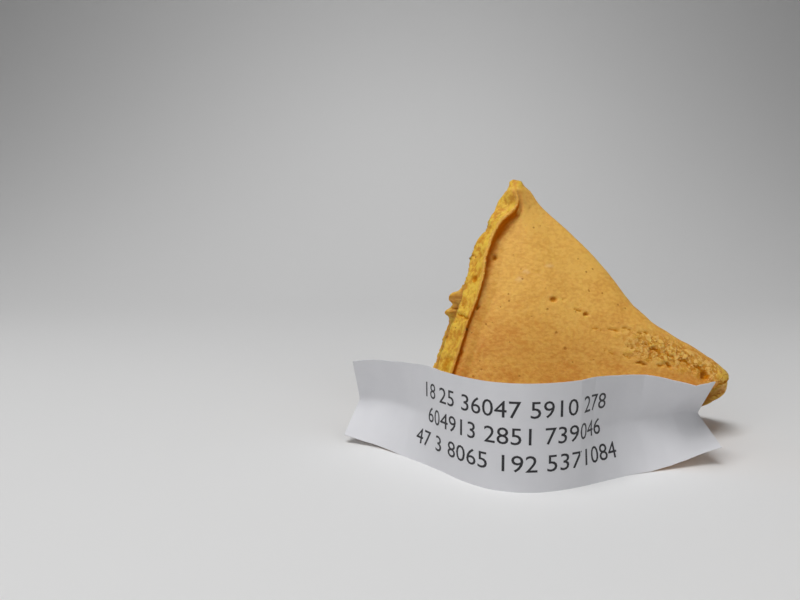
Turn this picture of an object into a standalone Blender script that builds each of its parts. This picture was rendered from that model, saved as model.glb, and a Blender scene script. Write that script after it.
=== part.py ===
"""One half of a broken fortune cookie standing on its rim, with the paper slip that came out of it."""

import bpy
import numpy as np

MM = 0.001

# The baked wafer: a disc folded once, then bent over an edge. Its middle is the apex of this half,
# where the two walls join in a solid nub. Lengths are in millimetres here and below.
APEX = (-4.3, 5.5, 36.5)
WALL = 2.1
APEX_SOLID = 5.4
NUB_RADIUS = 1.1
NUB_REACH = 0.16
EDGE_ROUND = 0.45

# Rim of the wafer, outer edge: from the nose of the fold round to each broken edge, and a little past it.
NOSE = (27.8, 1.0, 8.7)
FRONT_RIM = [
    (26.7, -1.4, 8.9),
    (23.6, -3.4, 7.7),
    (19.0, -5.5, 5.2),
    (14.0, -7.2, 2.0),
    (8.0, -8.3, 0.0),
    (1.0, -8.6, 0.0),
    (-7.0, -8.1, 0.0),
    (-13.0, -6.9, 0.0),
    (-18.2, -5.2, 0.0),
    (-23.6, -3.6, 0.0),
]
BACK_RIM = [
    (28.1, 3.2, 6.4),
    (28.0, 5.0, 4.2),
    (27.0, 7.4, 2.2),
    (23.0, 11.2, 0.3),
    (17.0, 14.6, 0.0),
    (9.0, 18.2, 0.0),
    (0.0, 20.4, 0.0),
    (-9.0, 19.8, 0.0),
    (-16.0, 16.4, 0.0),
    (-20.0, 11.5, 0.0),
    (-23.0, 6.0, 0.0),
]
FRONT_ARC = 51.7
BACK_ARC = 61.3

# The fold sags between the apex and the nose, and the front wall is slightly domed.
FOLD_SAG = 2.3
FOLD_SAG_AT = 0.66
FOLD_SAG_LENGTH = 0.19
FOLD_SWELL = 0.35
FOLD_WIDTH = 9.0
WALL_DOME = 1.1

# Along its broken edge the front wall turns outward in a lip, and the break slants across the wall,
# so the inner face reaches further than the outer one. The lip is cut back at its top, then steps out.
LIP_RISE = 1.35
LIP_PROFILE = [(1.25, 1.0), (1.0, 0.76), (0.88, 0.42), (1.1, 0.13), (1.7, 0.0), (2.6, 0.0), (3.7, 0.0)]
INNER_RISE = 1.8
INNER_BEND = 1.5
BREAK_SLANT = 2.0
INNER_OFFSET = 2.3
INNER_TOP_SHIFT = (-4.4, -1.2, 0.0)
TOP_CUT = 1.5
TOP_STEP = 1.2
EDGE_SPAN = 6.0
BREAK_RAGGED = 0.22
BACK_TEETH = 1.5

ROWS = 26
COLUMNS_FRONT = 30
COLUMNS_BACK = 26

# The paper slip stands on its long edge. Its ends are creased lengthways, so each end is a shallow V.
SLIP_HEIGHT = 12.7
SLIP_LENGTH = 57.0
SLIP_THICK = 0.2
SLIP_PLAN = [
    (-28.3, -3.3),
    (-24.2, -5.1),
    (-21.1, -7.6),
    (-18.5, -10.7),
    (-16.2, -13.9),
    (-13.8, -17.1),
    (-10.7, -19.7),
    (-6.9, -20.8),
    (-3.0, -20.3),
    (0.7, -18.7),
    (4.2, -16.8),
    (7.9, -15.3),
    (15.5, -12.9),
    (20.3, -11.8),
    (25.0, -10.8),
]
LEFT_CREASE_ANGLE = 34.0
LEFT_CREASE_LENGTH = 13.0
RIGHT_CREASE_ANGLE = 50.0
RIGHT_CREASE_LENGTH = 17.5
SLIP_STATIONS = 72
SLIP_LEVELS = 6


def clear_scene():
    for item in list(bpy.data.objects):
        bpy.data.objects.remove(item, do_unlink=True)


def unit(v):
    return v / np.maximum(np.linalg.norm(v, axis=-1, keepdims=True), 1e-9)


def spline(points, samples=24):
    """A smooth curve through the points, as closely spaced samples and their distance along it."""
    p = np.array(points, float)
    p = np.vstack([2 * p[0] - p[1], p, 2 * p[-1] - p[-2]])
    curve = []
    for i in range(1, len(p) - 2):
        step = np.linspace(0, 1, samples, endpoint=False)[:, None]
        a, b, c, d = p[i - 1], p[i], p[i + 1], p[i + 2]
        curve.append(
            0.5 * (2 * b + (c - a) * step + (2 * a - 5 * b + 4 * c - d) * step**2 + (3 * b - a - 3 * c + d) * step**3)
        )
    curve = np.vstack(curve + [p[-2:-1]])
    along = np.concatenate([[0], np.cumsum(np.linalg.norm(np.diff(curve, axis=0), axis=1))])
    return curve, along


def at(curve, along, where):
    where = np.asarray(where, float)
    return np.stack([np.interp(where, along, curve[:, k]) for k in range(curve.shape[1])], axis=-1)


def smooth(x):
    x = np.clip(x, 0, 1)
    return x * x * (3 - 2 * x)


def ragged(t, phase):
    """An uneven line along a broken edge, between about -1 and 1."""
    return 0.5 * np.sin(23 * t + phase) + 0.3 * np.sin(57 * t + 2.3 * phase) + 0.2 * np.sin(101 * t + 0.7 * phase)


def rim_curve():
    """The rim from the front break, through the nose (distance 0), to the back break."""
    points = FRONT_RIM[::-1] + [NOSE] + BACK_RIM
    curve, along = spline(points)
    curve[:, 2] = np.maximum(curve[:, 2], 0)
    along -= along[np.argmin(np.linalg.norm(curve - np.array(NOSE), axis=1))]
    return curve, along


def inner_rim(curve, along, where):
    """The rim moved one wall thickness inward, kept level with the outer edge where the rim stands on the floor."""
    here = at(curve, along, where)
    ahead = unit(at(curve, along, where + 0.6) - at(curve, along, where - 0.6))
    down = unit(here - np.array(APEX))
    inward = unit(np.cross(ahead, down))
    shift = WALL * inward
    level = -shift[:, 2] / np.minimum(down[:, 2], -0.3)
    standing = 1 - smooth(here[:, 2] / 4)
    moved = here + shift + down * (level * (0.25 + 0.75 * standing))[:, None]
    moved[:, 2] = np.where(here[:, 2] < 0.02, here[:, 2], np.maximum(moved[:, 2], 0))
    return moved


def row_places(t, inner):
    """Distances along the rim of one row's columns: close together beside the front break."""
    near = np.array([0, 0.4, 0.8, 1.3, 1.9, 2.7, 3.7])
    if not inner:
        overhang = smooth((t - 0.1) / 0.25)
        near = overhang * np.array(LIP_PROFILE)[:, 0] + (1 - overhang) * (1.25 + 0.66 * near)
    near *= min(1 / t, 0.45 * FRONT_ARC / near[-1])
    rest = np.linspace(0, 1, COLUMNS_FRONT - len(near) + 1)[1:] ** 1.25
    front = np.concatenate([FRONT_ARC - near, (FRONT_ARC - near[-1]) * (1 - rest)])
    back = BACK_ARC * np.linspace(0, 1, COLUMNS_BACK + 1)[1:] ** 1.25
    return np.concatenate([-front, back])


def edge_slide(where, t, inner):
    """How far each point of a row moves along the rim, so that the broken edges leave the straight line."""
    front = smooth(t / 0.3) * BREAK_RAGGED * ragged(t, 1.0)
    if inner:
        front += smooth(t / 0.24) * (BREAK_SLANT + INNER_OFFSET * (1 - t))
    else:
        front -= TOP_CUT * smooth(t / 0.06) * (1 - smooth(t / 0.2))
        front += TOP_STEP * smooth(t / 0.15) * np.exp(-(((t - 0.23) / 0.13) ** 2))
    back = smooth(t / 0.3) * BACK_TEETH * max(0, 1 - abs(t - 0.52) / 0.2) * (1.6 + ragged(t, 4.0))
    front_span = min(EDGE_SPAN, 0.95 * FRONT_ARC * t)
    back_span = min(EDGE_SPAN, 0.95 * BACK_ARC * t)
    near_front = np.clip(1 - (FRONT_ARC + where) * t / front_span, 0, 1)
    near_back = np.clip(1 - (BACK_ARC - where) * t / back_span, 0, 1)
    return back * near_back - front * near_front


def row_distances():
    """How far down the wall each row of points lies, from 0 at the apex to 1 at the rim."""
    evenly = np.linspace(0, 1, ROWS)[1:] ** 1.15
    return np.concatenate([evenly[:-1], [0.985, 1.0]])


def fold_sag(where, t):
    """How far the fold and the wall beside it lie below the straight line from the apex to the nose."""
    sag = FOLD_SAG * np.exp(-(((t - FOLD_SAG_AT) / FOLD_SAG_LENGTH) ** 2))
    sag -= FOLD_SWELL * np.exp(-(((t - 0.17) / 0.13) ** 2))
    return sag * np.exp(-((where / FOLD_WIDTH) ** 2)) * smooth(t / 0.1)


def wall_dome(where, t):
    """How far each wall stands out from the plain cone."""
    front = np.sin(np.pi * np.clip(-where / FRONT_ARC, 0, 1)) ** 2
    back = np.sin(np.pi * np.clip(where / BACK_ARC, 0, 1)) ** 2
    uneven = 0.16 * np.sin(0.21 * where + 5 * t) * smooth(t / 0.3) * (1 - smooth((t - 0.85) / 0.15))
    return WALL_DOME * np.sin(np.pi * t) * (front + 0.8 * back) + uneven


def break_rise(where, t, inner):
    """How far the wall turns outward beside the broken edge: a lip outside, a soft bend inside."""
    fade = smooth(t / 0.12) * (1 - 0.4 * smooth((t - 0.45) / 0.4))
    if inner:
        return INNER_RISE * fade * smooth(t / 0.3) * np.exp(-(((FRONT_ARC + where) * t / INNER_BEND) ** 2))
    rise = np.zeros(len(where))
    rise[: len(LIP_PROFILE)] = [height for _, height in LIP_PROFILE]
    return LIP_RISE * fade * rise


def shell_surface(inner):
    """The outer or the inner face of the wall, as a grid of points: one row for each distance from the apex."""
    curve, along = rim_curve()
    apex = np.array(APEX)
    middle = at(curve, along, np.linspace(-FRONT_ARC, BACK_ARC, 60)).mean(axis=0)
    axis = unit(middle - apex)
    start = apex + axis * APEX_SOLID if inner else apex
    rows = []
    for t in row_distances():
        where = row_places(t, inner)
        rim = inner_rim(curve, along, where) if inner else at(curve, along, where)
        plain = start + t * (rim - start)
        if inner:
            plain += np.array(INNER_TOP_SHIFT) * (1 - smooth(t / 0.3))
        ahead = unit(at(curve, along, where + 0.8) - at(curve, along, where - 0.8))
        out = -unit(np.cross(ahead, unit(rim - start)))
        shift = wall_dome(where, t) + break_rise(where, t, inner)
        if not inner:
            shift += NUB_RADIUS * (1 - smooth(t / NUB_REACH))
        if t > 0.999:
            shift += EDGE_ROUND if inner else -EDGE_ROUND
        point = plain + out * shift[:, None] + ahead * edge_slide(where, t, inner)[:, None]
        point -= out[np.argmin(abs(where))] * fold_sag(where, t)[:, None]
        point[:, 2] = np.maximum(point[:, 2], 0)
        if t > 0.999:
            point[plain[:, 2] < 1e-6, 2] = 0
        rows.append(point)
    if inner:
        return start + np.array(INNER_TOP_SHIFT), np.array(rows)
    top = start + np.array([-0.2, 0, 0]) * NUB_RADIUS - axis * 0.8 * NUB_RADIUS
    return top, np.array(rows)


def shell_mesh():
    """Closes the two faces of the wall with the rim, the two broken edges and the solid apex."""
    outer_top, outer = shell_surface(False)
    inner_top, inner = shell_surface(True)
    rows, columns = outer.shape[:2]
    points = [outer_top, inner_top] + list(outer.reshape(-1, 3)) + list(inner.reshape(-1, 3))

    def o(i, j):
        return 2 + i * columns + j

    def n(i, j):
        return 2 + (rows + i) * columns + j

    faces = []
    for j in range(columns - 1):
        faces.append((0, o(0, j), o(0, j + 1)))
        faces.append((1, n(0, j + 1), n(0, j)))
        for i in range(rows - 1):
            faces.append((o(i, j), o(i + 1, j), o(i + 1, j + 1), o(i, j + 1)))
            faces.append((n(i, j + 1), n(i + 1, j + 1), n(i + 1, j), n(i, j)))
        faces.append((o(rows - 1, j), n(rows - 1, j), n(rows - 1, j + 1), o(rows - 1, j + 1)))
    last = columns - 1
    faces.append((0, 1, n(0, 0), o(0, 0)))
    faces.append((1, 0, o(0, last), n(0, last)))
    for i in range(rows - 1):
        faces.append((o(i, 0), n(i, 0), n(i + 1, 0), o(i + 1, 0)))
        faces.append((n(i, last), o(i, last), o(i + 1, last), n(i + 1, last)))
    return points, faces


def crease_angle(along, left_length, right_length):
    """How far the paper is bent along its middle, at a distance from its left end."""
    left = LEFT_CREASE_ANGLE * np.clip(1 - along / left_length, 0, 1)
    right = RIGHT_CREASE_ANGLE * np.clip(1 - (SLIP_LENGTH - along) / right_length, 0, 1)
    return np.radians(left + right)


def slip_mesh():
    plan, along = spline(SLIP_PLAN)
    stations = np.linspace(0, SLIP_LENGTH, SLIP_STATIONS + 1)
    here = at(plan, along, stations)
    ahead = unit(at(plan, along, stations + 0.4) - at(plan, along, np.maximum(stations - 0.4, 0)))
    back = np.stack([-ahead[:, 1], ahead[:, 0]], axis=1)
    angle = crease_angle(stations, LEFT_CREASE_LENGTH, RIGHT_CREASE_LENGTH)
    levels = np.linspace(0, SLIP_HEIGHT, SLIP_LEVELS + 1)
    half = SLIP_HEIGHT / 2
    points = []
    for side in (-SLIP_THICK / 2, SLIP_THICK / 2):
        for level in levels:
            depth = (half - abs(level - half)) * np.sin(angle) + side
            height = half + (level - half) * np.cos(angle)
            points += [(x, y, z) for (x, y), z in zip(here + back * depth[:, None], height)]
    across, tall = SLIP_STATIONS + 1, SLIP_LEVELS + 1

    def v(side, level, station):
        return (side * tall + level) * across + station

    faces = []
    for level in range(SLIP_LEVELS):
        for s in range(SLIP_STATIONS):
            faces.append((v(0, level, s), v(0, level, s + 1), v(0, level + 1, s + 1), v(0, level + 1, s)))
            faces.append((v(1, level, s), v(1, level + 1, s), v(1, level + 1, s + 1), v(1, level, s + 1)))
        faces.append((v(0, level, 0), v(0, level + 1, 0), v(1, level + 1, 0), v(1, level, 0)))
        end = SLIP_STATIONS
        faces.append((v(0, level, end), v(1, level, end), v(1, level + 1, end), v(0, level + 1, end)))
    for s in range(SLIP_STATIONS):
        faces.append((v(0, 0, s), v(1, 0, s), v(1, 0, s + 1), v(0, 0, s + 1)))
        faces.append((v(0, SLIP_LEVELS, s), v(0, SLIP_LEVELS, s + 1), v(1, SLIP_LEVELS, s + 1), v(1, SLIP_LEVELS, s)))
    return points, faces


def material(name, colour, roughness):
    made = bpy.data.materials.new(name)
    made.use_nodes = True
    shader = made.node_tree.nodes["Principled BSDF"]
    shader.inputs["Base Color"].default_value = (*colour, 1)
    shader.inputs["Roughness"].default_value = roughness
    return made


def add_object(name, points, faces, centre, look):
    mesh = bpy.data.meshes.new(name)
    mesh.from_pydata([tuple((np.array(p) - centre) * MM) for p in points], [], faces)
    mesh.validate()
    mesh.materials.append(look)
    made = bpy.data.objects.new(name, mesh)
    bpy.context.collection.objects.link(made)
    return made


def build():
    clear_scene()
    shell_points, shell_faces = shell_mesh()
    slip_points, slip_faces = slip_mesh()
    everything = np.array(shell_points + slip_points)
    centre = (everything.min(axis=0) + everything.max(axis=0)) / 2
    centre[2] = everything[:, 2].min()
    biscuit = material("baked_wafer", (0.60, 0.33, 0.11), 0.6)
    paper = material("slip_paper", (0.83, 0.83, 0.85), 0.7)
    add_object("cookie_half", shell_points, shell_faces, centre, biscuit)
    add_object("fortune_slip", slip_points, slip_faces, centre, paper)


build()
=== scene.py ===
"""Looks of the broken fortune cookie half and its paper slip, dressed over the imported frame."""

import math
from types import SimpleNamespace

import bmesh
import bpy
import numpy as np
from mathutils import Matrix, Vector, kdtree, noise


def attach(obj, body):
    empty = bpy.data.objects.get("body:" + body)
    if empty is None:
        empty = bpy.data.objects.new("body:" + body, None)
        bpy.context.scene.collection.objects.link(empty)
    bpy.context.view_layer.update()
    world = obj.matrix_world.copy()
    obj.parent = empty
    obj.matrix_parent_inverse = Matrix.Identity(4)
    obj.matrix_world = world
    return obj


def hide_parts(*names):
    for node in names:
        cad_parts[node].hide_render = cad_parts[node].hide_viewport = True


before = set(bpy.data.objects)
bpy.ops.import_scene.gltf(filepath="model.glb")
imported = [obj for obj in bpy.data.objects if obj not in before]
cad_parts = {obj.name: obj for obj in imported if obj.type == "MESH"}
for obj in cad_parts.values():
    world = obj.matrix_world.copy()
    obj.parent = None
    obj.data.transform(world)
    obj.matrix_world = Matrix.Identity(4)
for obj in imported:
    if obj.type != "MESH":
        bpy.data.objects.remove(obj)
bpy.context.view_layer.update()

MM = 0.001

# ---------------------------------------------------------------- camera

CAMERA_PLACE_MM = (-20.75, -91.20, 29.97)
CAMERA_PITCH_DOWN = 6.3
CAMERA_ROLL = 0.27
LENS_MM = 28.76
SENSOR_MM = 36


def add_camera():
    data = bpy.data.cameras.new("camera")
    camera = bpy.data.objects.new("camera", data)
    bpy.context.scene.collection.objects.link(camera)
    data.sensor_width = SENSOR_MM
    data.lens = LENS_MM
    data.clip_start = 1 * MM
    data.clip_end = 5
    place = Matrix.Translation(Vector(CAMERA_PLACE_MM) * MM)
    tilt = Matrix.Rotation(math.radians(90 - CAMERA_PITCH_DOWN), 4, "X")
    roll = Matrix.Rotation(math.radians(-CAMERA_ROLL), 4, "Z")
    camera.matrix_world = place @ tilt @ roll
    bpy.context.scene.camera = camera


# ---------------------------------------------------------------- small tools


def srgb(code):
    """A hex colour as the linear numbers that a shader takes."""
    parts = [int(code[i : i + 2], 16) / 255 for i in (1, 3, 5)]
    linear = [c / 12.92 if c <= 0.04045 else ((c + 0.055) / 1.055) ** 2.4 for c in parts]
    return (*linear, 1.0)


def set_inputs(tree, node, inputs):
    """Gives a node's inputs their values, and links those that come from another node."""
    for key, value in inputs.items():
        if isinstance(value, bpy.types.NodeSocket):
            tree.links.new(value, node.inputs[key])
        else:
            node.inputs[key].default_value = value


def add_node(tree, kind, settings=None, inputs=None):
    """Adds a node: settings are its own properties, inputs its values and links."""
    node = tree.nodes.new(kind)
    for key, value in (settings or {}).items():
        setattr(node, key, value)
    set_inputs(tree, node, inputs or {})
    return node


def new_material(name):
    made = bpy.data.materials.new(name)
    made.use_nodes = True
    return made, made.node_tree, made.node_tree.nodes["Principled BSDF"]


def only_nothing():
    bpy.ops.object.select_all(action="DESELECT")


def only(piece):
    """Selects this piece alone and makes it active."""
    only_nothing()
    piece.select_set(True)
    bpy.context.view_layer.objects.active = piece


def edit(piece):
    only(piece)
    bpy.ops.object.mode_set(mode="EDIT")
    bpy.ops.mesh.select_all(action="SELECT")


def leave_edit():
    bpy.ops.object.mode_set(mode="OBJECT")


def apply_modifier(piece, kind, **settings):
    only(piece)
    made = piece.modifiers.new(kind.lower(), kind)
    for key, value in settings.items():
        setattr(made, key, value)
    bpy.ops.object.modifier_apply(modifier=made.name)


def ramp(values, start, end):
    """0 at start and before it, 1 at end and past it, with a smooth rise between them."""
    part = np.clip((values - start) / (end - start), 0, 1)
    return part * part * (3 - 2 * part)


def bell(values, width):
    """1 at 0, falling off on both sides over this width."""
    return np.exp(-((values / width) ** 2))


def coordinates(mesh):
    """The vertices in millimetres."""
    points = np.empty(len(mesh.vertices) * 3, np.float32)
    mesh.vertices.foreach_get("co", points)
    return points.reshape(-1, 3).astype(float) / MM


def set_coordinates(mesh, points):
    mesh.vertices.foreach_set("co", (points * MM).astype(np.float32).ravel())
    mesh.update()


def normals(mesh):
    found = np.empty(len(mesh.vertices) * 3, np.float32)
    mesh.vertices.foreach_get("normal", found)
    return found.reshape(-1, 3).astype(float)


def edge_ends(mesh):
    """The two vertex numbers of each edge."""
    ends = np.empty(len(mesh.edges) * 2, np.int32)
    mesh.edges.foreach_get("vertices", ends)
    return ends.reshape(-1, 2)


def set_attribute(mesh, name, values):
    made = mesh.attributes.new(name, "FLOAT", "POINT")
    made.data.foreach_set("value", values.astype(np.float32))


def rough(points, size, seed, octaves):
    """Fractal noise of about -1 to 1; size is the width of its largest bumps in millimetres."""
    total = np.zeros(len(points))
    for octave in range(octaves):
        shift = Vector((seed * 7.3, seed * 3.1 + octave * 5.7, seed * 1.9))
        scale = 2**octave / size
        total += 0.5**octave * np.array([noise.noise(Vector(p) * scale + shift) for p in points])
    return total


# ---------------------------------------------------------------- the broken half of the wafer

# Vertex spacing of the finished wafer in millimetres, fine enough for half-millimetre crumbs.
WAFER_GRAIN = 0.27

# Where the break's plane runs: x at the apex and at the floor, in millimetres.
BREAK_X_TOP = -4.4
BREAK_X_FOOT = -18.0
TOP_HEIGHT = 37.0

# From here on lengths are in millimetres, and in a pair of numbers a thing is 0 at the first
# and full at the second.

# Torn faces: how much of their normal points left, and how far right of the break's plane they
# lie.
TORN_TURN = (0.42, 0.64)
TORN_REACH = (3.8, 2.6)

# The nub at the apex: the heights over which it is torn, how far left of the middle its torn
# part lies, and the heights over which it is rounded.
NUB_TORN_HEIGHT = (35.0, 36.2)
NUB_TORN_LEFT = (1.9, 2.9)
NUB_ROUND_HEIGHT = (35.2, 36.0)

# The apex swells by this much between two heights, and above the last height it is flattened.
APEX_SWELL = 0.35
APEX_SWELL_HEIGHT = (33.2, 36.4)
APEX_FLAT = 36.9

# The lip: how much of its lost sharpness comes back, at which heights and how far from the
# break; the width of its pale rim; the width of its flare, and the flare's height low down and
# high up.
LIP_SHARPEN = 0.9
LIP_SHARP_HEIGHT = (19.0, 24.0)
LIP_SHARP_REACH = (6.0, 3.5)
LIP_RIM = 0.24
LIP_FLARE = 0.3
LIP_FLARE_LOW = 0.1
LIP_FLARE_HIGH = 0.2
LIP_FLARE_HEIGHT = (20.0, 26.0)

# The skin beside the lip is painted darker over this width, by this much: painted shade of the
# hollow there.
LIP_SHADE_WIDTH = 1.6
LIP_SHADE_STRENGTH = 0.45

# The back wall's broken edge has teeth here: in y, in height and right of the break's plane.
REAR_DEPTH = (4.0, 6.0)
REAR_HEIGHT = (28.0, 24.0)
REAR_REACH = (2.5, 1.0)

# The crumbling stretch: where it starts in x, its half width, the height at which its middle
# line starts, and how fast that line falls.
CRUMBLE_X = (8.0, 15.0)
CRUMBLE_WIDTH = 1.9
CRUMBLE_TOP = 14.2
CRUMBLE_FALL = 0.0165

# The worn end of the nose: where it starts in x, and where it ends in y.
NOSE_X = (23.8, 25.3)
NOSE_DEPTH = (6.0, 4.5)

# Colours of the baked batter, and of the painted light and shade on it.
SKIN_PALE = "#EDBA5A"
SKIN_BROWN = "#D18932"
# A painted highlight on the blisters.
BLISTER_HIGHLIGHT = "#F6D69A"
# The crumb is yellow as painted light on its lumps' tops and orange as painted shade between them.
CRUMB_LIT_YELLOW = "#ECC24A"
CRUMB_SHADED_ORANGE = "#D0902A"
# Painted shade in the hollow beside the lip.
HOLLOW_SHADE_ORANGE = "#CC6E06"
FLAKE_PALE = "#F9D27C"
FLAKE_BROWN = "#CC8A20"
# Painted shade in pores, pits, cracks and hair cracks, and the real brown of toasted stretches.
SHADE_AND_TOAST_BROWN = "#C27408"
# Painted shade in pin holes.
HOLE_SHADE_BROWN = "#B06C14"

# Bumps of each surface: their width and height in millimetres, seed and octaves.
SKIN_SWELLS = (4.5, 0.05, 4, 2)
SKIN_BUMPS = (0.9, 0.026, 6, 2)
CRUMBLE_BUMPS = (0.6, 0.07, 7, 2)
CRUMB_SWELLS = (2.4, 0.08, 9, 2)
REAR_TEETH = (0.8, 0.25, 12, 2)

# Heights of the crumb's lumps and of the skin's flakes and blisters, and depths of the crumb's
# pores and of the toasted skin.
LUMP_HEIGHT = 0.15
FLAKE_HEIGHT = 0.08
BLISTER_HEIGHT = 0.03
PORE_DEPTH = 0.45
TOASTED_DEPTH = 0.06

# Pits and cracks of this depth get the darkest painted shade.
PIT_DARKEST = 0.6
CRACK_DARKEST = 0.3

# Soft pulls that finish the rounded shape: place, reach and move, in millimetres.
PULLS = [
    (-4.7, 3.1, 33.1, 2.9, 1.15, 0.0, 0.0),
    (-5.1, 6.5, 36.0, 2.6, 0.6, 0.0, 0.0),
    (-5.3, 6.0, 35.4, 1.6, 0.5, 0.0, 0.0),
    (-4.5, 4.2, 34.7, 1.6, -0.2, -0.35, 0.2),
    (-4.2, 5.5, 37.1, 2.4, 0.55, 0.0, 0.55),
    (-6.0, 5.0, 31.0, 2.8, -0.6, 0.0, 0.0),
    (-8.2, 4.0, 28.0, 2.6, -0.4, 0.0, 0.0),
    (14.0, -0.5, 16.4, 3.5, 0.24, 0.0, 0.42),
    (17.5, -0.5, 14.4, 3.5, 0.24, 0.0, 0.42),
    (21.0, -0.5, 12.4, 3.5, 0.24, 0.0, 0.42),
    (24.0, -0.6, 10.5, 3.0, 0.1, 0.0, 0.3),
    (25.4, -1.4, 7.5, 2.4, 0.6, 0.0, -0.2),
    (26.8, 2.4, 5.2, 3.0, 0.95, 0.0, -0.15),
    (-12.0, 8.2, 19.5, 1.5, -1.4, 0.0, 0.0),
    (-12.8, 8.2, 17.0, 1.2, -1.1, 0.0, 0.0),
]

# The hollow beside the lip: height, its width and depth (less than 0 fills it), the width of
# the painted shade in it, and how dark that painted shade is.
LIP_HOLLOW = [
    (0.0, 2.0, -0.35, 0.9, 0.7),
    (19.0, 2.0, -0.5, 1.1, 0.75),
    (22.0, 2.2, -0.4, 1.4, 0.9),
    (28.0, 2.2, -0.15, 1.8, 1.0),
    (30.0, 1.8, 0.15, 2.0, 1.0),
    (32.0, 1.8, 0.2, 2.0, 1.0),
    (33.2, 1.2, 0.1, 1.2, 0.9),
    (34.6, 0.8, 0.0, 0.6, 0.5),
]

# Pits in the front skin: x, z, radius, depth, how much wider than tall.
PITS = [
    (-6.8, 25.7, 0.45, 0.6, 1.0),
    (-9.6, 18.8, 0.45, 0.55, 0.8),
    (-9.9, 22.8, 0.35, 0.4, 1.0),
    (0.9, 20.1, 0.4, 0.38, 1.5),
    (2.2, 20.2, 0.22, 0.25, 1.5),
    (5.6, 17.9, 0.26, 0.35, 1.8),
    (-1.0, 29.3, 0.18, 0.2, 1.4),
    (-0.2, 27.4, 0.18, 0.2, 1.4),
    (-1.4, 33.2, 0.2, 0.2, 1.6),
    (-1.1, 23.9, 0.2, 0.2, 1.6),
    (-6.0, 20.2, 0.2, 0.15, 1.5),
    (-4.1, 19.6, 0.18, 0.15, 1.4),
    (2.0, 12.0, 0.24, 0.2, 0.8),
    (2.7, 11.3, 0.2, 0.2, 0.8),
    (17.0, 10.9, 0.4, 0.4, 1.4),
    (22.3, 9.3, 0.62, 0.85, 0.9),
]

# Cracks in the front skin: x and z of both ends, width, depth.
CRACKS = [
    (3.7, 18.7, 5.0, 18.5, 0.2, 0.3),
    (6.0, 16.0, 7.8, 15.8, 0.15, 0.22),
    (8.3, 15.9, 10.3, 15.6, 0.16, 0.28),
    (10.4, 15.9, 12.1, 15.7, 0.15, 0.26),
    (12.7, 15.5, 14.6, 15.0, 0.16, 0.28),
    (10.5, 13.5, 12.4, 13.1, 0.15, 0.26),
    (12.6, 14.0, 14.6, 13.6, 0.16, 0.28),
    (7.4, 12.9, 9.2, 12.6, 0.14, 0.2),
    (10.0, 12.4, 12.0, 12.0, 0.16, 0.24),
    (11.8, 11.5, 13.8, 11.0, 0.2, 0.32),
    (14.2, 13.2, 16.2, 12.6, 0.2, 0.35),
    (16.4, 12.5, 18.4, 11.7, 0.2, 0.32),
    (18.6, 11.6, 20.6, 10.9, 0.22, 0.36),
    (20.6, 10.7, 22.4, 9.8, 0.22, 0.32),
    (15.0, 11.1, 17.4, 10.8, 0.18, 0.26),
    (22.4, 6.7, 26.8, 8.6, 0.22, 0.35),
    (-12.8, 17.8, -10.8, 17.2, 0.2, 0.4),
]

# Stretches that browned hardest where the skin burst: x, z, half width, half height, strength.
TOASTED = [
    (15.6, 12.8, 1.3, 0.45, 0.45),
    (14.0, 11.8, 0.9, 0.4, 0.35),
    (19.4, 11.2, 1.1, 0.4, 0.5),
    (21.3, 10.3, 0.9, 0.5, 0.5),
    (22.4, 9.4, 0.8, 0.8, 0.75),
    (12.8, 15.4, 1.2, 0.3, 0.25),
    (23.6, 7.3, 1.4, 0.5, 0.4),
    (26.0, 7.7, 1.2, 0.45, 0.8),
    (-9.9, 22.8, 0.5, 0.8, 0.8),
    (0.9, 20.1, 0.6, 0.4, 0.7),
    (5.4, 18.0, 0.5, 0.3, 0.7),
    (4.4, 18.6, 0.6, 0.2, 0.5),
    (-14.1, 10.7, 0.9, 1.6, 0.5),
]

# Raised pale crumbs: x, z, half width, half height.
FLAKES = [
    (19.0, 10.1, 1.2, 0.45),
    (16.4, 11.7, 1.0, 0.35),
    (12.6, 14.7, 0.9, 0.3),
    (17.8, 12.4, 0.9, 0.3),
    (9.6, 14.9, 0.8, 0.25),
    (20.9, 9.4, 0.6, 0.4),
    (13.6, 11.9, 0.7, 0.3),
    (11.2, 12.8, 0.6, 0.25),
    (14.6, 13.8, 0.8, 0.3),
    (16.0, 13.6, 0.6, 0.25),
    (19.8, 11.9, 0.8, 0.3),
    (21.9, 10.9, 0.7, 0.3),
    (23.6, 10.2, 0.8, 0.4),
    (24.4, 8.9, 0.7, 0.4),
    (17.6, 11.1, 0.7, 0.3),
]

# Dry blisters, raised a little and given a painted highlight: x, z, half width, half height.
BLISTERS = [(-2.8, 23.9, 0.6, 0.3), (-3.7, 22.8, 0.7, 0.35), (0.7, 24.8, 0.7, 0.35)]


def copy_of_node(name):
    """A merged copy of a frame node, as quads where its triangles pair up."""
    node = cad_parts[name]
    piece = bpy.data.objects.new("baked_" + name, node.data.copy())
    bpy.context.scene.collection.objects.link(piece)
    piece.data.materials.clear()
    edit(piece)
    bpy.ops.mesh.remove_doubles(threshold=0.002 * MM)
    pairing = math.radians(40)
    bpy.ops.mesh.tris_convert_to_quads(face_threshold=pairing, shape_threshold=pairing)
    leave_edit()
    return piece


def soften(piece):
    """Rounds the facets while the broken edges keep most of their sharpness."""
    edit(piece)
    bpy.ops.mesh.select_all(action="DESELECT")
    bpy.ops.mesh.edges_select_sharp(sharpness=math.radians(48))
    bpy.ops.transform.edge_crease(value=0.75)
    leave_edit()
    apply_modifier(piece, "SUBSURF", levels=2, render_levels=2)


def remesh(piece, size):
    only(piece)
    piece.data.remesh_voxel_size = size * MM
    piece.data.remesh_voxel_adaptivity = 0
    bpy.ops.object.voxel_remesh()


def break_plane(points):
    """How far each point lies to the right of the break's plane."""
    height = np.clip(points[:, 2] / TOP_HEIGHT, 0, 1)
    return points[:, 0] - (BREAK_X_FOOT + (BREAK_X_TOP - BREAK_X_FOOT) * height)


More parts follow.
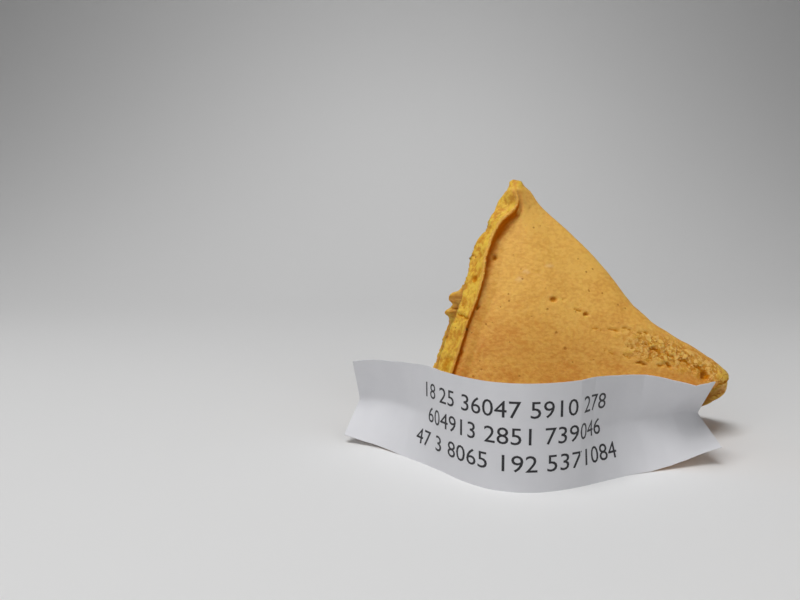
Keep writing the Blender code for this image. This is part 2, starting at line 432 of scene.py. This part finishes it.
def break_mask(points, facing):
    """1 on the torn faces of the two walls and on the nub, 0 on the baked skin."""
    walls = ramp(-facing[:, 0], *TORN_TURN) * ramp(break_plane(points), *TORN_REACH)
    nub = ramp(points[:, 2], *NUB_TORN_HEIGHT) * ramp(-points[:, 0], *NUB_TORN_LEFT)
    return np.maximum(walls, nub)


def relax(mesh, values, rounds):
    """Averages a value over each vertex's neighbours."""
    a, b = edge_ends(mesh).T
    size = len(values)
    count = np.bincount(a, minlength=size) + np.bincount(b, minlength=size) + 1.0
    for _ in range(rounds):
        around = np.bincount(a, values[b], size) + np.bincount(b, values[a], size)
        values = (values + around) / count
    return values


def draw_out_lip(mesh, points, nub):
    """Sharpens the upper lip, which the rounding blunted, and rounds the nub at the top more."""
    height = points[:, 2]
    soft = np.column_stack([relax(mesh, points[:, k], 10) for k in range(3)])
    upper = ramp(height, 0, 1.5) * ramp(height, *LIP_SHARP_HEIGHT)
    near_break = ramp(break_plane(points), *LIP_SHARP_REACH)
    drawn = LIP_SHARPEN * near_break * upper * (1 - nub) - nub
    return points + drawn[:, None] * (points - soft)


def pulled(points):
    """Moves the points as a soft grab brush does, once for each pull."""
    moved = points.copy()
    for x, y, z, reach, *move in PULLS:
        away = np.linalg.norm(points - (x, y, z), axis=1) / reach
        moved += np.outer(np.clip(1 - away**2, 0, 1) ** 2, move)
    return moved


def finish_apex(points, facing):
    """Swells the apex, pulls the whole into its last shape and flattens the very top."""
    swell = APEX_SWELL * ramp(points[:, 2], *APEX_SWELL_HEIGHT)
    points = pulled(points + facing * swell[:, None])
    over = np.maximum(points[:, 2] - APEX_FLAT, 0)
    points[:, 2] = np.minimum(points[:, 2], APEX_FLAT + 0.35 * over)
    return points


def lip_distance(mesh, points, facing, torn):
    """How far each point near the break lies from the front lip, where skin meets torn crumb."""
    ends = edge_ends(mesh)
    across = (torn[ends[:, 0]] > 0.5) != (torn[ends[:, 1]] > 0.5)
    middles = points[ends[across]].mean(axis=1)
    towards_front = facing[ends[across]].mean(axis=1)[:, 1] < -0.05
    _, depth, height = middles.T
    lip = middles[towards_front & (depth < 6) & (height > 0.5) & (height < 36)]
    tree = kdtree.KDTree(len(lip))
    for index, place in enumerate(lip):
        tree.insert(place, index)
    tree.balance()
    away = np.full(len(points), 9.0)
    for index in np.where(break_plane(points) < 6)[0]:
        away[index] = tree.find(points[index])[2]
    return away


def lip_hollow(points, facing, torn, away):
    """The rolled hollow beside the lip: how dark its painted shade is, and its depth in
    millimetres.
    """
    heights, *columns = np.array(LIP_HOLLOW).T
    wide, deep, browned_and_shaded, shade_strength = (np.interp(points[:, 2], heights, c) for c in columns)
    up = points * np.array([0.0, 0.0, 1.0])
    browned_and_shaded = browned_and_shaded * (1 + 0.3 * rough(up, 2.2, seed=31, octaves=2))
    skin = (1 - torn) * (facing[:, 1] < 0.1)
    across = np.clip((away - 0.15) / wide, 0, 1)
    tint = ramp(away, 0.22, 0.47) * ramp(away / browned_and_shaded, 1.15, 0.5)
    return skin * shade_strength * tint, skin * deep * np.sin(np.pi * across)


def front_point(points, facing, x, z):
    """The point of the front wall's skin at x and z."""
    beside = np.hypot(points[:, 0] - x, points[:, 2] - z)
    hidden = 3 * (facing[:, 1] > -0.3) + 0.3 * np.maximum(points[:, 1], -9)
    return points[np.argmin(beside + hidden)]


def spot(points, centre, reach, seed, ragged):
    """The points near a ragged spot, and how far inside each is, from 0 to 1.

    reach is the spot's half size along x, y and z, and ragged the width of its edge's bumps.
    """
    near = np.where(np.linalg.norm(points - centre, axis=1) < 2.2 * max(reach))[0]
    away = np.linalg.norm((points[near] - centre) / np.array(reach), axis=1)
    away *= 1 + 0.45 * rough(points[near], ragged, seed, octaves=2)
    return near, ramp(away, 1.25, 0.35)


def pit_depth(points, facing):
    depth = np.zeros(len(points))
    for number, (x, z, radius, deep, wide) in enumerate(PITS):
        centre = front_point(points, facing, x, z)
        near, inside = spot(points, centre, (radius * wide, radius, radius), 20 + number, 0.5)
        depth[near] = np.maximum(depth[near], deep * inside)
    return depth


def patch_mask(points, facing, patches, seed):
    """Ragged patches on the front skin, each x, z, half width, half height and maybe strength."""
    mask = np.zeros(len(points))
    for number, (x, z, wide, tall, *strength) in enumerate(patches):
        centre = front_point(points, facing, x, z)
        near, inside = spot(points, centre, (wide, 1.2, tall), seed + number, 0.7)
        mask[near] = np.maximum(mask[near], inside * (strength[0] if strength else 1))
    return mask


def crack_depth(points, facing):
    """Cracks wander up and down between their ends, and their width varies."""
    depth = np.zeros(len(points))
    x, _, z = points.T
    for number, (x0, z0, x1, z1, width, deep) in enumerate(CRACKS):
        beside = (x > x0 - 1) & (x < x1 + 1) & (abs(z - (z0 + z1) / 2) < 2.5)
        near = np.where(beside & (facing[:, 1] < -0.2))[0]
        here = points[near]
        part = (here[:, 0] - x0) / (x1 - x0)
        track = here * np.array([1.0, 0.0, 0.35])
        line = z0 + (z1 - z0) * part + 0.35 * rough(track, 1.1, 40 + number, octaves=2)
        ragged = 1 + 0.3 * rough(here, 0.4, 80 + number, octaves=1)
        away = abs(here[:, 2] - line) / width * ragged
        inside = ramp(part, 0, 0.2) * ramp(part, 1, 0.8) * ramp(away, 1.1, 0.2)
        depth[near] = np.maximum(depth[near], deep * inside)
    return depth


def crumble_mask(points, facing):
    """The crumbling stretch of front skin that runs down towards the nose, below the fold."""
    x, _, z = points.T
    middle = CRUMBLE_TOP - CRUMBLE_FALL * np.maximum(x - 7, 0) ** 2
    front = ramp(-facing[:, 1], 0.3, 0.6)
    return ramp(x, *CRUMBLE_X) * bell(z - middle, CRUMBLE_WIDTH) * front


def nose_mask(points):
    """The ragged end of the nose, where the skin is worn off on the front and at the tip."""
    x, y, _ = points.T
    ragged = ramp(rough(points, 1.3, seed=15, octaves=2), -0.5, 0.0)
    return ramp(x, *NOSE_X) * ramp(y, *NOSE_DEPTH) * ragged


def browning(points):
    """The skin browned most low down and towards the nose, and drifts from pale to brown."""
    x, _, z = points.T
    low = ramp(z, 27, 5)
    left = ramp(x, 8, -6)
    nose = ramp(x, 12, 24) * ramp(z, 15, 8)
    patches = 0.16 * rough(points, 7.0, seed=11, octaves=3)
    return np.clip(0.1 + 0.42 * low + 0.22 * low * left + 0.6 * nose + patches, 0, 1)


def bumps(points, width, height, seed, octaves):
    return height * rough(points, width, seed, octaves)


def wafer_marks(points, facing):
    """The marks in the skin and the lumps and pores of the crumb, for every point."""
    return SimpleNamespace(
        pits=pit_depth(points, facing),
        cracks=crack_depth(points, facing),
        toasted=patch_mask(points, facing, TOASTED, 120),
        flakes=patch_mask(points, facing, FLAKES, 140),
        blisters=patch_mask(points, facing, BLISTERS, 160),
        crumble=crumble_mask(points, facing),
        lumps=rough(points, 1.1, seed=1, octaves=3),
        pores=np.clip(-rough(points, 0.8, seed=13, octaves=2) - 0.45, 0, 1),
    )


def wafer_relief(points, torn, marks):
    """How far skin and crumb stand out of the smooth wafer, in millimetres."""
    flat_chips = points * np.array([0.7, 1.0, 1.4])
    skin = bumps(points, *SKIN_SWELLS) + bumps(points, *SKIN_BUMPS)
    skin += marks.crumble * bumps(flat_chips, *CRUMBLE_BUMPS)
    skin += FLAKE_HEIGHT * marks.flakes + BLISTER_HEIGHT * marks.blisters
    skin -= TOASTED_DEPTH * marks.toasted
    crumb = LUMP_HEIGHT * marks.lumps + bumps(points, *CRUMB_SWELLS) - PORE_DEPTH * marks.pores
    _, y, z = points.T
    rear = ramp(y, *REAR_DEPTH) * ramp(z, *REAR_HEIGHT) * ramp(break_plane(points), *REAR_REACH)
    teeth = rear * bumps(points, *REAR_TEETH)
    return torn * crumb + (1 - torn) * skin + teeth - marks.pits - marks.cracks


def set_looks(mesh, points, torn, hollow_shade, rim, away, marks):
    """Writes the attributes that the material reads."""
    nose = nose_mask(points)
    broken = torn * (1 - 0.85 * rim) + 0.4 * marks.flakes + 0.75 * nose
    # Painted light on the crumb's raised lumps and on the nose's underside, painted shade between
    # the lumps.
    painted_crumb_light = 0.5 + 0.55 * marks.lumps + 0.5 * nose
    # Painted shade in pits, cracks and the crumb's pores, darker the deeper they are, and the real
    # browning of the toasted stretches.
    deep = marks.pits / PIT_DARKEST + marks.cracks / CRACK_DARKEST
    deep = deep + marks.toasted + torn * marks.pores * (1 - rim)
    # The real browning, and painted shade on the skin beside the lip.
    browned_and_shaded = browning(points) + LIP_SHADE_STRENGTH * (1 - torn) * bell(away, LIP_SHADE_WIDTH)
    set_attribute(mesh, "torn", np.clip(broken, 0, 1))
    set_attribute(mesh, "painted_crumb_light", np.clip(painted_crumb_light, 0, 1))
    set_attribute(mesh, "crumble", np.clip(marks.crumble + nose, 0, 1))
    set_attribute(mesh, "hollow_shade", hollow_shade)
    set_attribute(mesh, "deep", np.clip(deep, 0, 1))
    set_attribute(mesh, "browned_and_shaded", browned_and_shaded)
    set_attribute(mesh, "blister_highlight", marks.blisters)


def make_wafer():
    piece = copy_of_node("cookie_half")
    soften(piece)
    remesh(piece, WAFER_GRAIN)
    mesh = piece.data
    points, facing = coordinates(mesh), normals(mesh)
    torn = relax(mesh, break_mask(points, facing), 2)
    nub = ramp(points[:, 2], *NUB_ROUND_HEIGHT)
    front = facing[:, 1] < 0.2

    # The lip: a pale rim that flares out beside a hollow with painted shade.
    points = draw_out_lip(mesh, points, nub)
    away = lip_distance(mesh, points, facing, torn)
    hollow_shade, hollow_depth = lip_hollow(points, facing, torn, away)
    rim = bell(away, LIP_RIM) * front * (1 - nub)
    high_up = ramp(points[:, 2], *LIP_FLARE_HEIGHT)
    flare = LIP_FLARE_LOW + (LIP_FLARE_HIGH - LIP_FLARE_LOW) * high_up
    flare = flare * bell(away, LIP_FLARE) * (1 - nub)

    # The relief. The foot moves less, so that it stays flat on the floor.
    points = finish_apex(points, facing)
    marks = wafer_marks(points, facing)
    move = wafer_relief(points, torn, marks) + flare - hollow_depth
    move *= 0.15 + 0.85 * ramp(points[:, 2], 0, 0.8)
    points = points + facing * move[:, None]
    points[:, 2] = np.maximum(points[:, 2], 0)
    set_coordinates(mesh, points)

    # The lip's own flank, which turns away from the break, gets painted shade with the hollow.
    flank = ramp(normals(mesh)[:, 0], 0.1, 0.5) * (1 - torn) * front * (points[:, 2] < 34)
    hollow_shade = np.maximum(hollow_shade, 0.8 * flank * ramp(away, 1.6, 0.8))
    set_looks(mesh, points, torn, hollow_shade, rim, away, marks)
    only(piece)
    bpy.ops.object.shade_smooth()
    piece.data.materials.append(wafer_material())
    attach(piece, "root")
    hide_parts("cookie_half")


def wafer_material():
    """Baked batter of flour, egg and sugar: satin golden skin, porous yellow crumb inside, with
    painted shade in its hollows, pits, holes and pores and painted highlights on its blisters and
    crumb.
    """
    made, tree, shader = new_material("baked_batter")
    smoothstep = {"interpolation_type": "SMOOTHSTEP"}
    rgba = {"data_type": "RGBA"}
    place = add_node(tree, "ShaderNodeTexCoord").outputs["Object"]
    torn, painted_crumb_light, hollow_shade, crumble, deep, browned_and_shaded, blister_highlight = (
        add_node(tree, "ShaderNodeAttribute", {"attribute_name": name}).outputs["Fac"]
        for name in ("torn", "painted_crumb_light", "hollow_shade", "crumble", "deep", "browned_and_shaded", "blister_highlight")
    )

    # Noises, each with the size of its bumps in millimetres. The skin's are wider than tall.
    wider = {"Scale": (0.8, 0.8, 1.25), "Vector": place}
    along = add_node(tree, "ShaderNodeMapping", inputs=wider).outputs[0]
    flecks, patches, course, fine, grain = (
        add_node(
            tree,
            "ShaderNodeTexNoise",
            inputs={"Scale": 1 / (size * MM), "Detail": detail, "Vector": vector},
        ).outputs[0]
        for size, detail, vector in (
            (0.5, 6.0, along),
            (3.2, 2.0, along),
            (1.5, 3.0, along),
            (0.5, 4.0, place),
            (0.35, 5.0, place),
        )
    )

    # Smooth ramps: what each reads, where it starts and ends, and what it gives there.
    fleck, patch, specks, hollow_shade_share, shade_and_toast, where_hair = (
        add_node(
            tree, "ShaderNodeMapRange", smoothstep, {0: value, 1: start, 2: end, 3: low, 4: top}
        ).outputs[0]
        for value, start, end, low, top in (
            (flecks, 0.34, 0.66, -0.2, 0.24),
            (patches, 0.3, 0.7, -0.13, 0.13),
            (fine, 0.4, 0.6, 0.0, 1.0),
            (hollow_shade, 0.05, 0.8, 0.0, 1.0),
            (deep, 0.1, 1.0, 0.0, 0.85),
            (crumble, 0.1, 0.7, 0.0, 0.8),
        )
    )

    # Sugar browns in flecks of half a millimetre, over the slow drift from pale to brown.
    toast = add_node(tree, "ShaderNodeMath", {"operation": "ADD"}, {0: fleck, 1: patch})
    toast = add_node(
        tree,
        "ShaderNodeMath",
        {"operation": "ADD", "use_clamp": True},
        {0: toast.outputs[0], 1: browned_and_shaded},
    ).outputs[0]
    crumb = add_node(
        tree, "ShaderNodeMath", {"operation": "MULTIPLY_ADD"}, {0: specks, 1: 0.4, 2: painted_crumb_light}
    ).outputs[0]
    crumb = add_node(
        tree, "ShaderNodeMapRange", smoothstep, {0: crumb, 1: 0.2, 2: 1.05}
    ).outputs[0]

    # Pin holes where steam left the batter, dark with painted shade: most hardly show, a few are
    # 0.4 mm wide.
    holes = add_node(
        tree, "ShaderNodeTexVoronoi", inputs={"Scale": 1 / (1.05 * MM), "Vector": place}
    )
    chance = add_node(
        tree, "ShaderNodeSeparateColor", inputs={"Color": holes.outputs["Color"]}
    ).outputs["Red"]
    rare = add_node(tree, "ShaderNodeMath", {"operation": "POWER"}, {0: chance, 1: 4.0})
    width = add_node(
        tree, "ShaderNodeMath", {"operation": "MULTIPLY"}, {0: rare.outputs[0], 1: 0.2}
    ).outputs[0]
    inward = add_node(
        tree,
        "ShaderNodeMath",
        {"operation": "SUBTRACT"},
        {0: width, 1: holes.outputs["Distance"]},
    ).outputs[0]
    hole = add_node(
        tree, "ShaderNodeMapRange", smoothstep, {0: inward, 1: -0.06, 2: 0.03, 4: 0.7}
    ).outputs[0]

    # Hair cracks run through the skin where it crumbles, dark with painted shade.
    course = add_node(tree, "ShaderNodeMath", {"operation": "SUBTRACT"}, {0: course, 1: 0.5})
    course = add_node(tree, "ShaderNodeMath", {"operation": "ABSOLUTE"}, {0: course.outputs[0]})
    hair = add_node(
        tree, "ShaderNodeMapRange", smoothstep, {0: course.outputs[0], 1: 0.03, 2: 0.004}
    ).outputs[0]

    # Shares of one value in another.
    hair, flaky, highlight_share, chips = (
        add_node(tree, "ShaderNodeMath", {"operation": "MULTIPLY"}, {0: one, 1: other}).outputs[0]
        for one, other in ((hair, where_hair), (crumble, 0.68), (blister_highlight, 0.35), (crumble, specks))
    )

    # The layers of colour from the skin upwards: where each one shows, and its colour.
    # The crumb's yellow is painted light on its lumps' tops, its orange painted shade between
    # them.
    colour, broken, inside = (
        add_node(
            tree, "ShaderNodeMix", rgba, {0: share, 6: srgb(first), 7: srgb(second)}
        ).outputs[2]
        for share, first, second in (
            (toast, SKIN_PALE, SKIN_BROWN),
            (specks, FLAKE_BROWN, FLAKE_PALE),
            (crumb, CRUMB_SHADED_ORANGE, CRUMB_LIT_YELLOW),
        )
    )
    # The hollow's orange and the brown of holes, hair cracks and pores are painted shade; the
    # blisters' pale is a painted highlight.
    for share, tint in (
        (flaky, broken),
        (highlight_share, srgb(BLISTER_HIGHLIGHT)),
        (hollow_shade_share, srgb(HOLLOW_SHADE_ORANGE)),
        (torn, inside),
        (hole, srgb(HOLE_SHADE_BROWN)),
        (hair, srgb(SHADE_AND_TOAST_BROWN)),
        (shade_and_toast, srgb(SHADE_AND_TOAST_BROWN)),
    ):
        colour = add_node(
            tree, "ShaderNodeMix", rgba, {0: share, 6: colour, 7: tint}
        ).outputs[2]

    # The skin has a faint gloss, and the hollow and the pits have none.
    dull = add_node(tree, "ShaderNodeMath", {"operation": "MAXIMUM"}, {0: deep, 1: hollow_shade})
    gloss = add_node(
        tree,
        "ShaderNodeMapRange",
        smoothstep,
        {0: dull.outputs[0], 1: 0.0, 2: 0.5, 3: 0.25, 4: 0.02},
    ).outputs[0]

    relief = grain
    for operation, other in (("SUBTRACT", hole), ("SUBTRACT", hair), ("ADD", chips)):
        relief = add_node(
            tree, "ShaderNodeMath", {"operation": operation}, {0: relief, 1: other}
        ).outputs[0]
    raised = {"Strength": 0.6, "Distance": 0.14 * MM, "Height": relief}
    bump = add_node(tree, "ShaderNodeBump", inputs=raised).outputs["Normal"]
    set_inputs(
        tree,
        shader,
        {
            "Base Color": colour,
            "Specular IOR Level": gloss,
            "Normal": bump,
            "Roughness": 0.52,
            "Subsurface Weight": 0.25,
            "Subsurface Radius": (1.0, 0.4, 0.1),
            "Subsurface Scale": 1.0 * MM,
        },
    )
    return made


# ---------------------------------------------------------------- the paper slip

SLIP_HEIGHT = 12.7
SLIP_LENGTH = 57.0
PAPER_THICK = 0.1

# Cells of the slip's grid along it and up it, about a quarter of a millimetre each.
SLIP_CELLS = (228, 50)

# The lengthwise crease is rounded over this distance to each side, in millimetres.
CREASE_ROUND = 0.3

# The slip's heading is taken over this distance to each side, in millimetres.
HEADING_REACH = 0.4

# The slip's foot on the floor, from its left end to its right end, about the object's own middle.
SLIP_PLAN = [
    (-28.7, -3.5),
    (-24.5, -5.4),
    (-21.3, -8.1),
    (-18.4, -11.2),
    (-15.8, -14.3),
    (-13.4, -17.5),
    (-10.3, -20.1),
    (-6.5, -21.1),
    (-2.6, -20.5),
    (1.1, -19.0),
    (4.7, -17.2),
    (8.3, -15.6),
    (15.8, -13.5),
    (20.6, -12.8),
    (25.4, -12.3),
]

# Steps in which the curve runs from one of these places to the next.
SLIP_PLAN_STEPS = 24

# How the lengthwise crease opens towards both ends: distance along the slip, lean back of the
# lower half and lean forward of the upper half in degrees, height of the bottom edge.
SLIP_FOLD = [
    (0.0, 51, 20, 1.2),
    (3.0, 40, 14, 0.64),
    (6.0, 31, 12, 0.3),
    (10.0, 21, 5, 0.0),
    (14.0, 8, 0, 0.0),
    (17.0, 0, 0, 0.0),
    (36.0, 0, 0, 0.0),
    (39.0, 12, 3, 0.0),
    (43.0, 21, 8, 0.0),
    (47.0, 29, 12, 0.09),
    (50.0, 34, 31, 0.54),
    (52.5, 37, 46, 1.13),
    (55.0, 49, 45, 1.9),
    (57.0, 64, 36, 2.4),
]


def plan_curve():
    """The slip's course over the floor as a smooth curve, with the distance along it."""
    stops = np.array(SLIP_PLAN)
    stops = np.vstack([2 * stops[0] - stops[1], stops, 2 * stops[-1] - stops[-2]])
    part = np.linspace(0, 1, SLIP_PLAN_STEPS, endpoint=False)[:, None]
    spans = []
    for before, start, end, after in zip(stops, stops[1:], stops[2:], stops[3:]):
        squared = (2 * before - 5 * start + 4 * end - after) * part**2
        cubed = (3 * start - before - 3 * end + after) * part**3
        spans.append(0.5 * (2 * start + (end - before) * part + squared + cubed))
    curve = np.vstack(spans + [stops[-2:-1]])
    steps = np.linalg.norm(np.diff(curve, axis=0), axis=1)
    return curve, np.concatenate([[0], np.cumsum(steps)])


def on_slip(flat):
    """Bends points onto the standing slip.

    Each is its distance along, its height and its distance behind the printed face.
    """
    curve, along = plan_curve()
    where, level, behind = flat.T

    def at(distance):
        return np.stack([np.interp(distance, along, curve[:, k]) for k in (0, 1)], axis=1)

    ahead = at(where + HEADING_REACH) - at(np.maximum(where - HEADING_REACH, 0))
    ahead /= np.linalg.norm(ahead, axis=1)[:, None]
    back = np.stack([-ahead[:, 1], ahead[:, 0]], axis=1)
    distances, *columns = np.array(SLIP_FOLD).T
    lower, upper, lift = (np.interp(where, distances, c) for c in columns)
    lower, upper = np.radians(lower), np.radians(upper)
    half = SLIP_HEIGHT / 2
    from_fold = level - half
    rounded = np.sqrt(from_fold**2 + CREASE_ROUND**2)
    above, below = (rounded + from_fold) / 2, half - (rounded - from_fold) / 2
    depth = below * np.sin(lower) - above * np.sin(upper) + behind
    height = lift + below * np.cos(lower) + above * np.cos(upper)
    place = at(where) + back * depth[:, None]
    return np.column_stack([place, height])


def make_slip():
    only_nothing()
    cells_long, cells_high = SLIP_CELLS
    bpy.ops.mesh.primitive_grid_add(x_subdivisions=cells_long, y_subdivisions=cells_high, size=1)
    piece = bpy.context.active_object
    piece.name = "fortune_paper"
    # The grid is one unit wide and high, from -0.5 to 0.5.
    across, up, _ = (coordinates(piece.data) * MM + 0.5).T
    flat = np.column_stack([across * SLIP_LENGTH, up * SLIP_HEIGHT, np.zeros(len(up))])
    set_coordinates(piece.data, on_slip(flat))
    apply_modifier(piece, "SOLIDIFY", thickness=PAPER_THICK * MM, offset=-1.0)
    points = coordinates(piece.data)
    points[:, 2] = np.maximum(points[:, 2], 0)
    set_coordinates(piece.data, points)
    edit(piece)
    bpy.ops.mesh.normals_make_consistent(inside=False)
    leave_edit()
    only(piece)
    bpy.ops.object.shade_smooth_by_angle(angle=math.radians(40))
    piece.data.materials.append(paper_material())
    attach(piece, "root")
    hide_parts("fortune_slip")


def tone_of(tree, place, size, detail, dark, light):
    """A colour that drifts between two; size is the width of its patches in millimetres."""
    drift = {"Scale": 1 / (size * MM), "Detail": detail, "Vector": place}
    cloud = add_node(tree, "ShaderNodeTexNoise", inputs=drift).outputs["Fac"]
    tone = add_node(tree, "ShaderNodeValToRGB", inputs={"Fac": cloud})
    tone.color_ramp.elements[0].color = srgb(dark)
    tone.color_ramp.elements[1].color = srgb(light)
    return tone.outputs["Color"]


def paper_material():
    """Uncoated wood-free paper, pressed smooth: a dull white with hardly any grain."""
    made, tree, shader = new_material("uncoated_paper")
    place = add_node(tree, "ShaderNodeTexCoord").outputs["Object"]
    # Single fibres are too fine to show, so what is drawn are clumps a third of a millimetre wide.
    fibres = {"Scale": 1 / (0.3125 * MM), "Detail": 3.0, "Vector": place}
    fibre = add_node(tree, "ShaderNodeTexNoise", inputs=fibres).outputs["Fac"]
    raised = {"Strength": 0.25, "Distance": 0.02 * MM, "Height": fibre}
    bump = add_node(tree, "ShaderNodeBump", inputs=raised).outputs["Normal"]
    colour = tone_of(tree, place, 3.846, 3.0, "#D5D5D9", "#DDDDE0")
    looks = {"Base Color": colour, "Normal": bump, "Roughness": 0.7, "Specular IOR Level": 0.3}
    set_inputs(tree, shader, looks)
    return made


# ---------------------------------------------------------------- the printed numbers

# Each line of print: its numbers, its width and the height of its baseline in millimetres.
PRINT_LINES = [
    ("18 25 36047 5910 278", 27.8, 8.7),
    ("604913 2851 739046", 26.4, 5.6),
    ("47 3 8065 192 5371084", 30.9, 2.4),
]
PRINT_MIDDLE = SLIP_LENGTH / 2 - 1.3
PRINT_EM = 2.82
STRIP_WIDTH = PRINT_EM / 10

# How far the ink stands out of the paper, and how thick it is, in millimetres.
INK_PROUD = 0.012
INK_THICK = 0.018


def slice_upright(piece, spacing):
    """Cuts flat digits into narrow upright strips, so that they bend with the paper."""
    shape = bmesh.new()
    shape.from_mesh(piece.data)
    bmesh.ops.remove_doubles(shape, verts=shape.verts, dist=0.001)
    last = max(v.co.x for v in shape.verts)
    for cut in np.arange(spacing, last, spacing):
        everything = shape.verts[:] + shape.edges[:] + shape.faces[:]
        bmesh.ops.bisect_plane(shape, geom=everything, plane_co=(cut, 0, 0), plane_no=(1, 0, 0))
    bmesh.ops.triangulate(shape, faces=shape.faces)
    shape.to_mesh(piece.data)
    shape.free()


def make_numbers():
    lines = []
    for words, width, baseline in PRINT_LINES:
        only_nothing()
        bpy.ops.object.text_add()
        line = bpy.context.active_object
        line.data.body = words
        line.data.size = PRINT_EM
        line.data.resolution_u = 3
        bpy.ops.object.convert(target="MESH")
        line = bpy.context.active_object
        slice_upright(line, STRIP_WIDTH)
        # The text is drawn with one unit to the millimetre.
        x, up, _ = (coordinates(line.data) * MM).T
        where = PRINT_MIDDLE + (x - (x.min() + x.max()) / 2) * width / (x.max() - x.min())
        placed = np.column_stack([where, baseline + up, np.full(len(x), -INK_PROUD)])
        set_coordinates(line.data, on_slip(placed))
        lines.append(line)
    only_nothing()
    for line in lines:
        line.select_set(True)
    bpy.context.view_layer.objects.active = lines[0]
    bpy.ops.object.join()
    piece = bpy.context.active_object
    piece.name = "printed_numbers"
    apply_modifier(piece, "SOLIDIFY", thickness=INK_THICK * MM, offset=-1.0)
    piece.data.materials.append(ink_material())
    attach(piece, "root")


def ink_material():
    """Toner: black plastic powder fused to the paper, faintly satin."""
    made, tree, shader = new_material("black_toner")
    place = add_node(tree, "ShaderNodeTexCoord").outputs["Object"]
    # The powder's grains are too fine to show, and the black varies over a quarter millimetre.
    colour = tone_of(tree, place, 0.25, 2.0, "#1C1A1E", "#2E2C31")
    set_inputs(tree, shader, {"Base Color": colour, "Roughness": 0.5})
    return made


# ---------------------------------------------------------------- table, backdrop and light

# The card that stands for table and backdrop, in metres.
CARD_WIDTH = 2.4
CARD_FRONT = -0.7
CARD_BACK = 0.6
CARD_HEIGHT = 1.2
CARD_BEND = 0.45

# Each soft box: name, place, aim, width and height in metres, watts, spread in degrees.
LAMPS = [
    ("overhead_softbox", (-0.10, -0.11, 0.47), (0, -0.02, 0), 0.25, 0.25, 1.48, 180),
    ("left_fill", (-0.45, -0.25, 0.20), (0, 0, 0.02), 0.3, 0.3, 0.3, 180),
    ("left_high", (-0.35, -0.35, 0.35), (0, 0, 0.02), 0.3, 0.3, 0.4, 180),
    ("right_high", (0.30, -0.38, 0.34), (0, 0, 0.02), 0.3, 0.3, 0.5, 180),
    ("backdrop_pool", (0.0, 0.12, 0.40), (0.0, 0.45, 0.12), 0.2, 0.1, 0.15, 110),
]
ROOM_GLOW = 0.06


def select_corners(sheet, chosen):
    """Selects the sheet's corners that pass the test, and the edges between them."""
    bpy.ops.mesh.select_all(action="DESELECT")
    shape = bmesh.from_edit_mesh(sheet.data)
    for corner in shape.verts:
        corner.select = chosen(corner.co)
    shape.select_flush(True)
    bmesh.update_edit_mesh(sheet.data)


def make_stage():
    """One sheet of matt white card: it lies flat under the object and sweeps up behind it."""
    only_nothing()
    bpy.ops.mesh.primitive_plane_add(size=1)
    sweep = bpy.context.active_object
    sweep.name = "table_and_backdrop"
    bpy.ops.transform.resize(value=(CARD_WIDTH, CARD_BACK - CARD_FRONT, 1))
    bpy.ops.transform.translate(value=(0, (CARD_BACK + CARD_FRONT) / 2, 0))
    bpy.ops.object.transform_apply(location=True, rotation=True, scale=True)
    edit(sweep)
    select_corners(sweep, lambda place: place.y > CARD_BACK - MM)
    upwards = {"value": (0, 0, CARD_HEIGHT)}
    bpy.ops.mesh.extrude_region_move(TRANSFORM_OT_translate=upwards)
    select_corners(sweep, lambda place: place.y > CARD_BACK - MM and place.z < MM)
    bpy.ops.mesh.bevel(offset=CARD_BEND, segments=36, affect="EDGES")
    bpy.ops.mesh.select_all(action="SELECT")
    bpy.ops.mesh.normals_make_consistent(inside=True)
    leave_edit()
    only(sweep)
    bpy.ops.object.shade_smooth()
    made, tree, shader = new_material("white_card")
    looks = {"Base Color": srgb("#E4E4E4"), "Roughness": 0.7, "Specular IOR Level": 0.2}
    set_inputs(tree, shader, looks)
    sweep.data.materials.append(made)


def light_studio():
    world = bpy.data.worlds.new("soft_room")
    bpy.context.scene.world = world
    world.use_nodes = True
    background = world.node_tree.nodes["Background"]
    set_inputs(world.node_tree, background, {"Color": srgb("#FFFFFF"), "Strength": ROOM_GLOW})
    for name, place, aim, width, height, power, spread in LAMPS:
        data = bpy.data.lights.new(name, "AREA")
        data.shape = "RECTANGLE"
        data.size, data.size_y = width, height
        data.energy = power
        data.spread = math.radians(spread)
        lamp = bpy.data.objects.new(name, data)
        bpy.context.scene.collection.objects.link(lamp)
        lamp.location = place
        towards = Vector(aim) - Vector(place)
        lamp.rotation_euler = towards.to_track_quat("-Z", "Y").to_euler()
    bpy.context.scene.view_settings.view_transform = "Standard"


add_camera()
light_studio()
make_stage()
make_wafer()
make_slip()
make_numbers()
